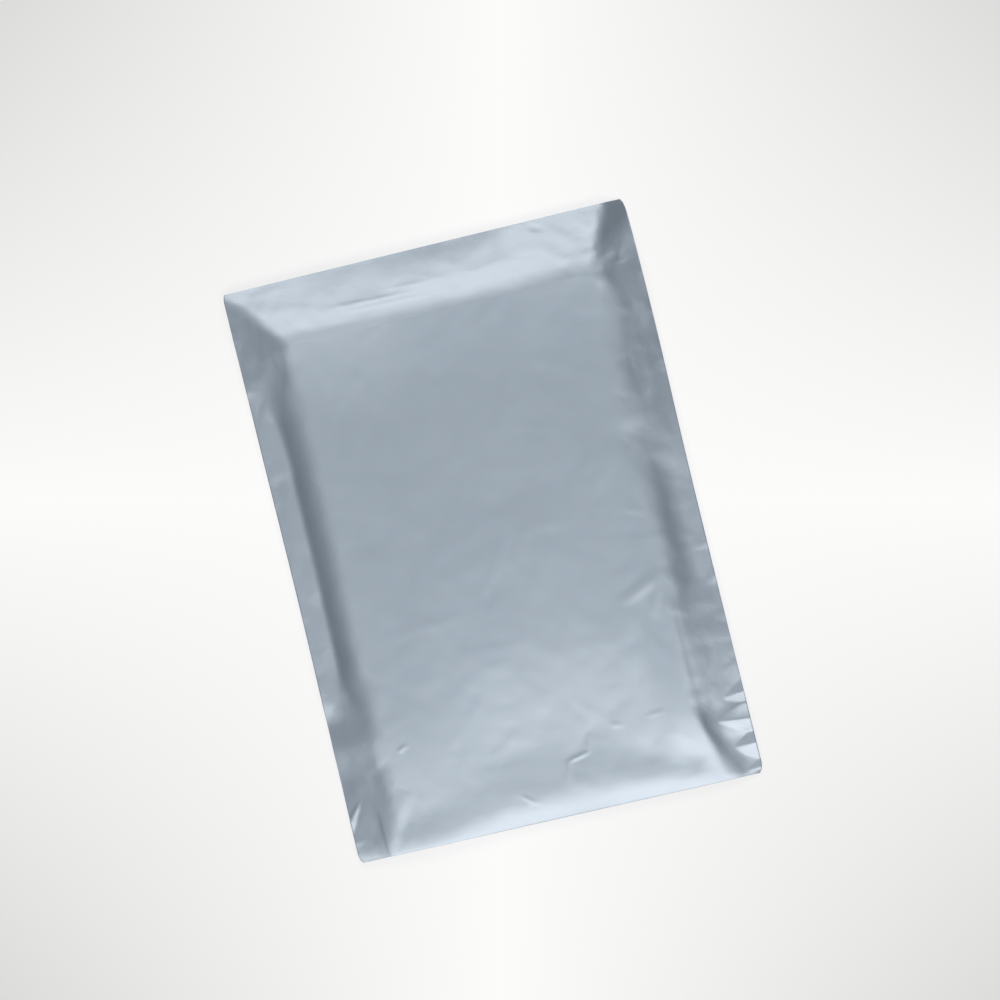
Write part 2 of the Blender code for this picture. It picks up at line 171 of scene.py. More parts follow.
# The face's slope towards the base, at distances from the fold: near the left side, in the middle, near the
# right side, short of the right flank and beside it. Below it, where one of these turns into the next.
BASE_SLOPES = (
    (0.0, 0.14, 0.22, 0.20, 0.19, 0.17),
    (2.5, 0.08, 0.20, 0.19, 0.17, 0.12),
    (5.5, 0.04, 0.165, 0.155, 0.11, 0.10),
    (9.0, 0.01, 0.113, 0.095, 0.042, 0.105),
    (14.0, 0.0, 0.058, 0.027, 0.033, 0.115),
    (21.0, 0.023, 0.019, 0.012, 0.105, 0.12),
    (28.0, 0.040, 0.018, 0.056, 0.110, 0.10),
    (35.0, 0.047, 0.026, 0.075, 0.073, 0.06),
    (42.0, 0.036, 0.043, 0.054, 0.046, 0.03),
    (49.0, 0.033, 0.056, 0.047, 0.031, 0.02),
    (63.0, 0.018, 0.060, 0.050, 0.010, 0.01),
    (77.0, 0.004, 0.056, 0.043, 0.004, 0.0),
    (91.0, 0.0, 0.044, 0.031, 0.0, 0.0),
    (106.0, 0.0, 0.026, 0.004, 0.0, 0.0),
    (123.0, 0.005, 0.017, 0.004, 0.0, 0.0),
    (150.0, 0.006, 0.011, 0.002, 0.0, 0.0),
    (175.0, 0.003, 0.004, 0.0, 0.0, 0.0),
)
NEAR_LEFT = (44.0, 110.0)
NEAR_RIGHT = (160.0, 187.0)
FAR_RIGHT = (187.0, 208.0)
AT_RIGHT = (209.0, 223.0)
BASE_READINGS = 581

# How far the side edges are drawn in from the full width, and how far in that reaches.
INSET_REACH = 30.0
LEFT_INSET = (
    (0.0, 1.2),
    (1.5, 0.5),
    (5.0, 0.0),
    (70.0, 0.2),
    (190.0, 0.9),
    (from_base(90), 0.5),
    (from_base(6), 0.0),
    (from_base(2.5), 0.5),
    (from_base(0), 2.2),
)
RIGHT_INSET = (
    (0.0, 3.4),
    (2.5, 1.9),
    (8.0, 1.1),
    (40.0, 0.3),
    (75.0, 0.0),
    (170.0, 0.6),
    (from_base(70), 0.3),
    (from_base(7), 0.0),
    (from_base(2.5), 0.7),
    (from_base(0), 2.6),
)

# The base edge isn't quite square to the sides: how far its ends lie beyond it, and where that starts.
ASKEW_LEFT = -1.0
ASKEW_RIGHT = 2.0
ASKEW_START = 0.55 * LENGTH

# The right corner of the mouth is bent down: a plain facet, up to a line that leaves the side at CORNER_BEND
# and slants inwards. Past it the film turns back into the flank, over a run that narrows inwards as a fan, down
# to a share of its width at the edge.
CORNER_HEIGHT = 1.1
CORNER_SLOPE_IN = 0.52
CORNER_SLOPE_ALONG = -0.035
CORNER_BEND = 6.0
CORNER_SLANT = 0.8
CORNER_TURN = 43.0
CORNER_FAN = 42.0
CORNER_FAN_LEAST = 0.3

# Folds in the film: both ends, then the height of the crest, and how far it falls away to the left and to the
# right, looking from the first end to the second. A height below nothing is a valley. The higher the fullness,
# the longer a crest keeps its height towards its ends.
FOLD_FULLNESS = 2.5
FOLDS = (
    # the mouth flank
    (58.0, 23.0, 114.0, 25.0, -0.11, 2.2, 2.4),
    (70.0, 27.0, 122.0, 28.4, -0.09, 1.8, 2.2),
    (96.0, 19.5, 124.0, 21.0, -0.06, 2.0, 2.2),
    (197.0, 5.0, 218.0, 25.0, -0.16, 6.0, 8.0),
    (188.0, 2.0, 196.0, 8.0, 0.20, 3.0, 4.0),
    # the creases below the bent corner
    (from_right(24), 34.0, from_right(4), 31.0, 0.14, 3.0, 4.5),
    (from_right(19), 39.5, from_right(5), 37.0, 0.08, 2.0, 2.2),
    # the fold across the right flank
    (from_right(35.5), 139.0, from_right(29), 150.0, -0.12, 3.5, 3.5),
    # creases that run from the right flank into the face
    (from_right(28), 222.0, from_right(60), 236.0, 0.30, 6.0, 6.0),
    (from_right(34), 226.0, from_right(42), 248.0, 0.22, 5.0, 5.0),
    (from_right(46), 180.0, from_right(30), 186.0, 0.12, 4.0, 4.5),
    (from_right(32), 228.0, from_right(30.5), 306.0, 0.22, 4.5, 4.0),
    # the left corner of the base
    (37.0, from_base(37), 15.5, from_base(3), 0.34, 8.0, 11.0),
    (15.5, from_base(34), 17.0, from_base(-6), -0.18, 3.0, 10.0),
    (38.0, from_base(60), 44.0, from_base(64), 0.16, 2.0, 2.0),
    # the base, from its middle to its right corner
    (134.0, from_base(20), 136.5, from_base(33), 0.2, 2.4, 1.6),
    (135.0, from_base(32), 150.0, from_base(35.5), 0.2, 1.6, 2.4),
    (149.0, from_base(34), 152.0, from_base(47), 0.17, 2.2, 1.6),
    (104.0, from_base(19), 112.0, from_base(11), 0.16, 2.0, 2.0),
    (112.0, from_base(18), 114.0, from_base(9), 0.14, 1.5, 1.8),
    (from_right(83), from_base(48), from_right(74), from_base(46), 0.07, 2.5, 2.5),
    (from_right(60), from_base(48), from_right(48), from_base(49), 0.06, 2.5, 2.5),
)

# Puckers where the side weld has drawn the film up: where the crest meets the edge, how far in it reaches, its
# height and its width towards the mouth and towards the base at the edge, and how far it slants along on its way
# in. The higher the taper, the sooner a pucker narrows on its way in.
PUCKER_TAPER = 0.7
PUCKER_TIP = 0.001
RIGHT_PUCKERS = (
    (48.0, 3.5, 0.3, 2.5, 3.0, 1.0),
    (69.0, 6.0, 0.2, 2.5, 3.5, 0.5),
    (103.0, 6.0, 0.3, 3.0, 4.0, 0.0),
    (212.0, 11.0, 0.4, 5.0, 4.0, 1.5),
    (232.0, 10.0, 0.5, 6.0, 5.0, 4.0),
    (256.0, 8.0, 0.3, 4.0, 5.0, -1.0),
    (302.5, 13.0, 1.0, 7.0, 7.0, 1.5),
    (318.5, 20.0, 1.6, 10.0, 9.0, -2.0),
    (333.5, 13.0, 1.5, 8.5, 11.0, 0.5),
    (349.0, 8.0, 0.6, 6.0, 3.0, 0.0),
)
LEFT_PUCKERS = (
    (29.0, 10.0, 0.15, 6.0, 6.0, 0.0),
    (60.0, 8.0, 0.3, 5.0, 5.0, 1.0),
    (101.0, 7.0, 0.2, 6.0, 6.0, 0.0),
    (from_base(26), 9.0, 1.2, 3.5, 8.0, -11.0),
    (from_base(13), 7.0, 0.3, 4.0, 5.0, 0.0),
)

# Small random folds, for the film's crinkled feel: how many, the seed of their draw, the box that they lie
# in, and the ranges of their length, of their height and of how far they fall away.
CRUMPLES = (
    # along the mouth
    (190, 3, (0, 0, WIDTH, 32), (10, 40), (0.015, 0.05), (3, 10)),
    # along the left side and the right side
    (120, 5, (0, 0, 26, LENGTH), (9, 34), (0.03, 0.10), (4, 9)),
    (140, 7, (from_right(28), 0, WIDTH, LENGTH), (9, 34), (0.03, 0.12), (4, 9)),
    # on the face, and near the base
    (300, 11, (20, 42, from_right(20), from_base(90)), (16, 60), (0.018, 0.055), (4, 11)),
    (200, 13, (20, from_base(100), from_right(20), LENGTH), (10, 46), (0.012, 0.042), (4, 10)),
)

# The film is loose along its edges: from the first distance in, where the goods hold it taut, to the second,
# where it hangs free. Towards the base the goods hold it less, by up to a share.
LOOSE_SIDES = (40.0, 18.0)
LOOSE_BASE = (90.0, 10.0)
LOOSE_BASE_SHARE = 0.45

# The bead of melted film along each side's cut edge.
BEAD_RADIUS = 0.35
BEAD_SPACING = 1.2
BEAD_UNEVENNESS = 0.5
BEAD_SIDES = 8
LEFT_BEAD_SEED = 1.0
RIGHT_BEAD_SEED = 7.0

# The mesh lines of the skin.
MARGIN_SPACING = 0.75
MIDDLE_SPACING = 1.35
MOUTH_SPACING = 0.8
LENGTH_SPACING = 1.7
BASE_SPACING = 0.8
SIDE_MARGIN = 38.0
BASE_MARGIN = 74.0
SHARP_ANGLE = math.radians(60)

# Colours.
FILM_COLOUR = (0.345, 0.423, 0.512)
FILM_DARK = (0.336, 0.415, 0.504)
FILM_PALE = (0.352, 0.431, 0.520)
BEAD_COLOUR = (0.33, 0.405, 0.49)
LAMP_COLOUR = (1.0, 0.96, 0.915)
SURROUND_COLOUR = (0.92, 0.96, 1.0)

# The soft boxes beyond the bag's ends: name, place, size and power. Then the dim light all round.
SOFT_BOXES = (
    ("mouth_softbox", (0.0, 2.1, 3.13), (4.25, 1.75), 65.6),
    ("base_softbox", (0.0, -1.63, 3.45), (4.25, 1.75), 80.0),
)
SURROUND_STRENGTH = 0.165

# The floor: from its middle to its sides, its level just under the bag, how bright the painted shade leaves the
# picture's corners beside its middle, and how much of its own light it shows the camera.
FLOOR_REACH = 8.0
FLOOR_LEVEL = -0.0003
FLOOR_PAINTED_CORNER_SHADE = 0.74
FLOOR_GLOW = 0.8

# The camera and the picture that it takes.
CAMERA_HEIGHT = 4.0
CAMERA_LEAN = math.radians(3.0)
PICTURE_ROLL = math.radians(13.6)
PICTURE_SPAN = 0.599
SENSOR = 36.0
BAG_MIDDLE_IN_PICTURE = (-0.008, -0.032)
BAG_MIDDLE_HEIGHT = 0.01


def spaced(start, end, spacing):
    """Places from start up to but not including end, evenly spaced by about that much."""
    count = max(1, round((end - start) / spacing))
    return [start + (end - start) * k / count for k in range(count)]


def eased(stations, along):
    """Every value of the stations, read at places along an edge.

    Each value follows a smooth line that never swings past a station.
    """
    table = np.array(stations)
    places, values = table[:, 0], table[:, 1:]
    gaps = np.diff(places)
    slopes = np.diff(values, axis=0) / gaps[:, None]
    before, after = slopes[:-1], slopes[1:]
    wide = (gaps[:-1] + 2 * gaps[1:])[:, None]
    near = (2 * gaps[:-1] + gaps[1:])[:, None]
    steady = before * after > 0
    safe = np.where(steady, wide * before + near * after, 1)
    turns = np.where(steady, (wide + near) * before * after / safe, 0)
    turns = np.concatenate((slopes[:1], turns, slopes[-1:]))
    upper = np.clip(np.searchsorted(places, along), 1, len(places) - 1)
    lower = upper - 1
    share = np.clip((along - places[lower]) / gaps[lower], 0, 1)[..., None]
    rest = 1 - share
    line = values[lower] * rest**2 * (1 + 2 * share) + values[upper] * share**2 * (1 + 2 * rest)
    line += gaps[lower][..., None] * share * rest * (turns[lower] * rest - turns[upper] * share)
    return [line[..., column] for column in range(values.shape[1])]


def ramp(value, low, high):
    """0 up to low, 1 from high, and a soft turn between them."""
    share = np.clip((value - low) / (high - low), 0, 1)
    return share * share * (3 - 2 * share)


def soft_min(a, b, blend):
    """The lower of two heights, rounded where they cross."""
    share = np.clip(0.5 + 0.5 * (b - a) / blend, 0, 1)
    return b * (1 - share) + a * share - blend * share * (1 - share)


def soft_max(a, b, blend):
    """The higher of two heights, rounded where they cross."""
    return -soft_min(-a, -b, blend)


def quarter_round(distance, run):
    """0 at an edge, rising as a quarter of an ellipse to 1 at the end of the run."""
    return np.sqrt(np.clip(1 - np.clip(1 - distance / run, 0, 1) ** 2, 0, 1))


def flank_height(stations, along, inward, face_at):
    """A flank falls from the face as a wall, down to its foot, and then more gently to the bag's edge.

    face_at gives the face's height at a distance in from this edge.
    """
    top, foot, margin_slope, wall_slope = eased(stations, along)[:4]
    wall = face_at(top) - wall_slope * (top - inward)
    margin = face_at(top) - wall_slope * (top - foot) - margin_slope * (foot - inward)
    return np.maximum(soft_max(margin, wall, FOOT_BLEND), LOWEST_FILM)


def mouth_flank(across, along):
    """The flank at the mouth: a wall that curves up to the crease at the end of the goods."""
    even, foot, margin_slope, wall_slope, crest_slope = eased(MOUTH_FLANK, across)
    curved = (wall_slope - crest_slope) / CREST_CURVE

    def fall(distance):
        """How far the wall lies below the crease."""
        bent = np.clip(distance - even, 0, curved)
        return crest_slope * distance + CREST_CURVE * bent * (distance - even - 0.5 * bent)

    top = face_height(across, MOUTH_CREST)
    wall = top - fall(MOUTH_CREST - along)
    past_foot = np.clip(along - foot, 0, None)
    margin = top - fall(MOUTH_CREST - foot) - margin_slope * (foot - along)
    margin -= MOUTH_MARGIN_CURVE * past_foot**2
    return soft_max(margin, wall, FOOT_BLEND)


def bent_corner(flank, along, inward):
    """The right flank with the mouth's corner bent down."""
    facet = CORNER_HEIGHT + CORNER_SLOPE_IN * inward + CORNER_SLOPE_ALONG * along
    turn = CORNER_TURN * np.clip(1 - inward / CORNER_FAN, CORNER_FAN_LEAST, 1)
    past = ramp(along - CORNER_SLANT * inward, CORNER_BEND, CORNER_BEND + turn)
    return facet * (1 - past) + flank * past


def base_drop(across, to_base):
    """How far the face has fallen on its way to the base."""
    table = np.array(BASE_SLOPES)
    distance = np.linspace(0, table[-1, 0], BASE_READINGS)
    drops = []
    for column in range(1, table.shape[1]):
        slope = np.interp(distance, table[:, 0], table[:, column])
        steps = 0.5 * (slope[1:] + slope[:-1]) * np.diff(distance)
        rise = np.concatenate(([0], np.cumsum(steps)))
        drops.append(rise[-1] - np.interp(to_base, distance, rise))
    left, middle, right, far_right, at_right = drops
    drop = left + (middle - left) * ramp(across, *NEAR_LEFT)
    drop = drop + (right - drop) * ramp(across, *NEAR_RIGHT)
    drop = drop + (far_right - drop) * ramp(across, *FAR_RIGHT)
    return drop + (at_right - drop) * ramp(across, *AT_RIGHT)


def face_height(across, along):
    """The crowned face over the goods, with its fall towards the base."""
    side = np.clip(2 * across / WIDTH - 1, -1, 1)
    crown = FACE_CROWN + (BASE_CROWN - FACE_CROWN) * ramp(along, BASE_CROWN_START, LENGTH)
    rim = MOUTH_RIM_LEFT + (MOUTH_RIM_RIGHT - MOUTH_RIM_LEFT) * ramp(across, *MOUTH_RIM_TURN)
    rim *= np.clip(1 - along / MOUTH_RIM_RUN, 0, 1) ** 2
    return FACE_HEIGHT - crown * side**2 + rim - base_drop(across, LENGTH - along)


class Skin:
    """The upper film's height over a grid of lines across and along the bag, and what is pressed into it."""

    def __init__(self, across_lines, along_lines):
        self.across_lines = np.array(across_lines)
        self.along_lines = np.array(along_lines)
        self.across, self.along = np.meshgrid(self.across_lines, self.along_lines)
        self.height = self.over_goods()

    def over_goods(self):
        """The face, the flanks, and the roll over the fold of the base."""
        across, along = self.across, self.along
        from_far = WIDTH - across
        left = flank_height(LEFT_FLANK, along, across, lambda inward: face_height(inward, along))
        right = flank_height(
            RIGHT_FLANK, along, from_far, lambda inward: face_height(WIDTH - inward, along)
        )
        right = bent_corner(right, along, from_far)
        height = np.where(
            along < MOUTH_CREST, mouth_flank(across, along), face_height(across, along)
        )
        height = soft_min(height, left, eased(LEFT_FLANK, along)[4])
        height = soft_min(height, right, eased(RIGHT_FLANK, along)[4])
        roll = np.minimum(FOLD_DROP, FOLD_DROP_SHARE * height[-1:, :])
        return height - roll * (1 - quarter_round(LENGTH - along, BASE_FOLD))

    def window(self, low_across, high_across, low_along, high_along):
        """The part of the grid inside a box, for a change that reaches no further."""
        columns = np.searchsorted(self.across_lines, (low_across, high_across))
        rows = np.searchsorted(self.along_lines, (low_along, high_along))
        return slice(rows[0], rows[1]), slice(columns[0], columns[1])

    def add_fold(self, x0, y0, x1, y1, height, left, right):
        """Raises or lowers a line in the film: full height in its middle, nothing at its ends and sides."""
        wide = max(left, right)
        where = self.window(
            min(x0, x1) - wide, max(x0, x1) + wide, min(y0, y1) - wide, max(y0, y1) + wide
        )
        x, y = self.across[where], self.along[where]
        dx, dy = x1 - x0, y1 - y0
        length = math.hypot(dx, dy)
        place = ((x - x0) * dx + (y - y0) * dy) / length**2
        off = ((x - x0) * dy - (y - y0) * dx) / length
        side = np.clip(np.where(off > 0, off / left, -off / right), 0, 1)
        body = 0.5 + 0.5 * np.cos(math.pi * side)
        ends = np.clip(1 - np.abs(2 * place - 1) ** FOLD_FULLNESS, 0, 1)
        self.height[where] += height * body * ends * quarter_round(LENGTH - y, BASE_FOLD)

    def add_puckers(self, puckers, inward):
        """Raises each pucker out of a side margin, as a pleat that narrows and sinks on its way in."""
        for place, reach, height, to_mouth, to_base, slant in puckers:
            left_over = np.clip(1 - inward / reach, PUCKER_TIP, 1)
            off = (self.along - place - slant * inward / reach) / left_over**PUCKER_TAPER
            side = np.where(off < 0, -off / to_mouth, off / to_base)
            self.height += height * np.clip(1 - side, 0, 1) * left_over * (inward < reach)

    def add_crumple(self, count, seed, inside, lengths, heights, widths):
        """Many small random folds inside a box."""
        chance = np.random.default_rng(seed)
        low_x, low_y, high_x, high_y = inside
        for _ in range(count):
            x, y = chance.uniform(low_x, high_x), chance.uniform(low_y, high_y)
            turn = chance.uniform(0, math.pi)
            half = 0.5 * chance.uniform(*lengths)
            height = chance.uniform(*heights) * chance.choice((-1, 1))
            left, right = chance.uniform(*widths), chance.uniform(*widths)
            dx, dy = half * math.cos(turn), half * math.sin(turn)
            self.add_fold(x - dx, y - dy, x + dx, y + dy, height, left, right)

    def press(self):
        """Puts every fold, pucker and crinkle into the film."""
        for fold in FOLDS:
            self.add_fold(*fold)
        self.add_puckers(LEFT_PUCKERS, self.across)
        self.add_puckers(RIGHT_PUCKERS, WIDTH - self.across)
        for crumple in CRUMPLES:
            self.add_crumple(*crumple)

    def under(self):
        """The closure side's film: with the upper film in the margins, flat under the goods."""
        left = self.margin(LEFT_FLANK, self.across)
        right = self.margin(RIGHT_FLANK, WIDTH - self.across)
        mouth = (self.height[:1, :] - EDGE_THICKNESS) * (1 - self.along / UNDER_MOUTH_RUN)
        edges = soft_max(soft_max(left, right, UNDER_BLEND), mouth, UNDER_BLEND)
        fold = self.height[-1:, :] - EDGE_THICKNESS
        base = fold * (1 - quarter_round(LENGTH - self.along, UNDER_BASE_RUN))
        height = np.maximum(soft_max(edges, 0.0, UNDER_BLEND), base)
        past_flap = self.along - CLOSURE_FLAP
        step = np.where(past_flap > 0, np.clip(1 - past_flap / FLAP_RUN_OUT, 0, 1), 0)
        return np.minimum(height + FLAP_STEP * step, self.height - EDGE_THICKNESS)

    def margin(self, stations, inward):
        """One side of the under film: it follows the upper film to where they part, then falls away."""
        foot, margin_slope = eased(stations, self.along_lines)[1:3]
        parting = foot * ramp(margin_slope, *PARTING_SLOPES)
        rows = []
        order = slice(None) if inward[0, 0] < inward[0, -1] else slice(None, None, -1)
        for row in range(len(self.along_lines)):
            ins, heights = inward[row, order], self.height[row, order]
            rows.append(np.interp(np.minimum(inward[row], parting[row]), ins, heights))
        beyond = np.clip(inward - parting[:, None], 0, None)
        return np.array(rows) - EDGE_THICKNESS - UNDER_SLOPE * beyond

    def points(self, height):
        """The grid's points in metres, in the bag's frame."""
        near_left = np.clip(1 - self.across / INSET_REACH, 0, 1)
        near_right = np.clip(1 - (WIDTH - self.across) / INSET_REACH, 0, 1)
        drawn_in = eased(LEFT_INSET, self.along)[0] * near_left
        drawn_in -= eased(RIGHT_INSET, self.along)[0] * near_right
        x = self.across - 0.5 * WIDTH + drawn_in
        askew = ASKEW_LEFT + (ASKEW_RIGHT - ASKEW_LEFT) * self.across / WIDTH
        y = 0.5 * LENGTH - self.along - askew * ramp(self.along, ASKEW_START, LENGTH)
        return np.stack((x, y, height), axis=2) * MM

    def looseness(self):
        """1 where the film hangs free and crinkles, falling to 0 where the goods hold it taut."""
        inward = np.minimum(np.minimum(self.across, WIDTH - self.across), self.along)
        near_base = ramp(LENGTH - self.along, *LOOSE_BASE)
        return np.clip(ramp(inward, *LOOSE_SIDES) + LOOSE_BASE_SHARE * near_base, 0, 1)


def skin_lines():
    """The places of the grid's lines across and along the bag, closest together in the margins."""
    across = spaced(0, SIDE_MARGIN, MARGIN_SPACING)
    across += spaced(SIDE_MARGIN, from_right(SIDE_MARGIN), MIDDLE_SPACING)
    across += spaced(from_right(SIDE_MARGIN), WIDTH, MARGIN_SPACING) + [WIDTH]
    along = spaced(0, MOUTH_CREST, MOUTH_SPACING)
    along += spaced(MOUTH_CREST, CLOSURE_FLAP, MOUTH_SPACING)
    along += [CLOSURE_FLAP, CLOSURE_FLAP + FLAP_WALL]
    along += spaced(CLOSURE_FLAP + FLAP_NEXT_LINE, from_base(BASE_MARGIN), LENGTH_SPACING)
    along += spaced(from_base(BASE_MARGIN), from_base(BASE_FOLD), BASE_SPACING)
    turns = [0.5 * math.pi * k / FOLD_LINES for k in range(FOLD_LINES + 1)]
    along += [LENGTH - BASE_FOLD * (1 - math.sin(turn)) for turn in turns]
    return across, along


def every_second(count):
    """Every second line of the grid, with its last one."""
    return set(range(0, count, 2)) | {count - 1}


def film_mesh(skin):
    """Both films as one closed skin, the upper one twice as fine as the under one."""
    upper = skin.points(skin.height)
    lower = skin.points(skin.under())
    rows, columns = skin.height.shape
    count = rows * columns
    low_rows = sorted(every_second(rows) | flap_rows(skin))
    low_columns = sorted(every_second(columns))
    low_size = (len(low_rows), len(low_columns))
    at = np.arange(count).reshape(rows, columns)
    low_at = count + np.arange(low_size[0] * low_size[1]).reshape(low_size)
    faces = [
        (at[i, j], at[i + 1, j], at[i + 1, j + 1], at[i, j + 1])
        for i in range(rows - 1)
        for j in range(columns - 1)
    ]
    faces += [
        (low_at[i, j], low_at[i, j + 1], low_at[i + 1, j + 1], low_at[i + 1, j])
        for i in range(low_size[0] - 1)
        for j in range(low_size[1] - 1)
    ]
    # A narrow wall joins the films all round. Each face in it has one edge of the under film and two or three
    # of the upper one.
    for m, (i, k) in enumerate(zip(low_rows, low_rows[1:])):
        left_wall = tuple(at[row, 0] for row in range(k, i - 1, -1))
        right_wall = tuple(at[row, -1] for row in range(i, k + 1))
        faces.append(left_wall + (low_at[m, 0], low_at[m + 1, 0]))
        faces.append(right_wall + (low_at[m + 1, -1], low_at[m, -1]))
    for m, (i, k) in enumerate(zip(low_columns, low_columns[1:])):
        mouth_wall = tuple(at[0, column] for column in range(i, k + 1))
        base_wall = tuple(at[-1, column] for column in range(k, i - 1, -1))
        faces.append(mouth_wall + (low_at[0, m + 1], low_at[0, m]))
        faces.append(base_wall + (low_at[-1, m], low_at[-1, m + 1]))
    kept = np.ix_(low_rows, low_columns)
    points = np.concatenate((upper.reshape(-1, 3), lower[kept].reshape(-1, 3)))
    mesh = bpy.data.meshes.new("film")
    mesh.from_pydata(points.tolist(), [], [tuple(int(v) for v in face) for face in faces])
    mesh.update()
    loose = mesh.attributes.new("looseness", "FLOAT", "POINT")
    looseness = skin.looseness()
    values = np.concatenate((looseness.ravel(), looseness[kept].ravel()))
    loose.data.foreach_set("value", values.astype(np.float32))
    mesh.shade_smooth()
    mesh.set_sharp_from_angle(angle=SHARP_ANGLE)
    keep_crease(mesh, skin)
    return mesh


def keep_crease(mesh, skin):
    """Marks the crease between the mouth's flank and the face, where the goods hold it sharp."""
    columns = skin.height.shape[1]
    row = int(np.argmin(np.abs(skin.along_lines - MOUTH_CREST)))
    start, end = CREASE_ENDS
    inside = np.flatnonzero((skin.across_lines > start) & (skin.across_lines < end))
    on_crease = {int(row * columns + column) for column in inside}
    sharp = mesh.attributes.get("sharp_edge")
    sharp = sharp or mesh.attributes.new("sharp_edge", "BOOLEAN", "EDGE")
    for edge in mesh.edges:
        if edge.vertices[0] in on_crease and edge.vertices[1] in on_crease:
            sharp.data[edge.index].value = True


def flap_rows(skin):
    """The rows of the grid at the closure flap's edge."""
    places = (CLOSURE_FLAP, CLOSURE_FLAP + FLAP_WALL)
    return {int(np.argmin(np.abs(skin.along_lines - place))) for place in places}


def new_material(name, colour, metallic, roughness):
    """A node material with its plain values on the shader's own sockets."""
    material = bpy.data.materials.new(name)
    material.use_nodes = True
    shader = material.node_tree.nodes["Principled BSDF"]
    shader.inputs["Base Color"].default_value = (*colour, 1)
    shader.inputs["Metallic"].default_value = metallic
    shader.inputs["Roughness"].default_value = roughness
    return material, material.node_tree, shader


def add_node(tree, kind, **values):
    """A node with its inputs set by name."""
    node = tree.nodes.new(kind)
    for name, value in values.items():
        node.inputs[name.replace("_", " ")].default_value = value
    return node


def add_math(tree, operation, *values, kind="ShaderNodeMath"):
    """One step of arithmetic on links and plain values. Returns the node's result."""
    node = tree.nodes.new(kind)
    node.operation = operation
    for slot, value in zip(node.inputs, values):
        if isinstance(value, bpy.types.NodeSocket):
            tree.links.new(value, slot)
        else:
            slot.default_value = value
    return node.outputs[0]


def bead_material():
    """Film that has melted and set: smoother and a little darker than the sheet, with small pits."""
    material, tree, shader = new_material("weld_bead", BEAD_COLOUR, metallic=0.7, roughness=0.36)
    link = tree.links.new
    place = tree.nodes.new("ShaderNodeTexCoord").outputs["Object"]
    pits = add_node(tree, "ShaderNodeTexNoise", Scale=700.0, Detail=3.0, Roughness=0.6)
    link(place, pits.inputs["Vector"])
    sheen = add_node(tree, "ShaderNodeMapRange", From_Min=0.3, From_Max=0.7, To_Min=0.3, To_Max=0.44)
    link(pits.outputs["Fac"], sheen.inputs["Value"])
    link(sheen.outputs["Result"], shader.inputs["Roughness"])
    bump = add_node(tree, "ShaderNodeBump", Strength=0.2, Distance=0.0002)
    link(pits.outputs["Fac"], bump.inputs["Height"])
    link(bump.outputs["Normal"], shader.inputs["Normal"])
    return material


def film_material():
    """Silver-grey film: a broad satin gloss, faint clouding, and crinkles, most of all where it is loose."""
    material, tree, shader = new_material("silver_film", FILM_COLOUR, metallic=0.7, roughness=0.44)
    shader.inputs["Coat Weight"].default_value = 1.0
    shader.inputs["Coat IOR"].default_value = 1.8
    shader.inputs["Coat Roughness"].default_value = 0.28
    link = tree.links.new
    place = tree.nodes.new("ShaderNodeTexCoord").outputs["Object"]
    loose = tree.nodes.new("ShaderNodeAttribute")
    loose.attribute_name = "looseness"

    cloud = add_node(tree, "ShaderNodeTexNoise", Scale=22.0, Detail=5.0, Roughness=0.6)
    link(place, cloud.inputs["Vector"])
    tint = tree.nodes.new("ShaderNodeValToRGB")
    for stop, position, colour in zip(tint.color_ramp.elements, (0.3, 0.7), (FILM_DARK, FILM_PALE)):
        stop.position = position
        stop.color = (*colour, 1)
    link(cloud.outputs["Fac"], tint.inputs["Fac"])
    link(tint.outputs["Color"], shader.inputs["Base Color"])

    sheen = add_node(tree, "ShaderNodeMapRange", From_Min=0.3, From_Max=0.7, To_Min=0.42, To_Max=0.46)
    link(cloud.outputs["Fac"], sheen.inputs["Value"])
    link(sheen.outputs["Result"], shader.inputs["Roughness"])

    crinkle = add_node(tree, "ShaderNodeTexNoise", Scale=95.0, Detail=4.0, Roughness=0.55, Distortion=0.6)
    link(place, crinkle.inputs["Vector"])
    grain = add_node(tree, "ShaderNodeTexNoise", Scale=900.0, Detail=2.0, Roughness=0.5)
    link(place, grain.inputs["Vector"])
    depth = add_node(tree, "ShaderNodeMapRange", From_Min=0.0, From_Max=1.0, To_Min=0.06, To_Max=0.32)
    link(loose.outputs["Fac"], depth.inputs["Value"])
    coarse = add_node(tree, "ShaderNodeBump", Distance=0.0006)
    link(depth.outputs["Result"], coarse.inputs["Strength"])
    link(crinkle.outputs["Fac"], coarse.inputs["Height"])
    fine = add_node(tree, "ShaderNodeBump", Strength=0.08, Distance=0.0002)
    link(grain.outputs["Fac"], fine.inputs["Height"])
    link(coarse.outputs["Normal"], fine.inputs["Normal"])
    link(fine.outputs["Normal"], shader.inputs["Normal"])
    return material


def edge_path(skin, side):
    """The line that a side's weld follows, between the two films at their edge."""
    column = 0 if side == "left" else -1
    points = skin.points(skin.height - 0.5 * EDGE_THICKNESS)[:, column]
    mesh = bpy.data.meshes.new(side + "_path")
    mesh.from_pydata(points.tolist(), [(k, k + 1) for k in range(len(points) - 1)], [])
    return mesh


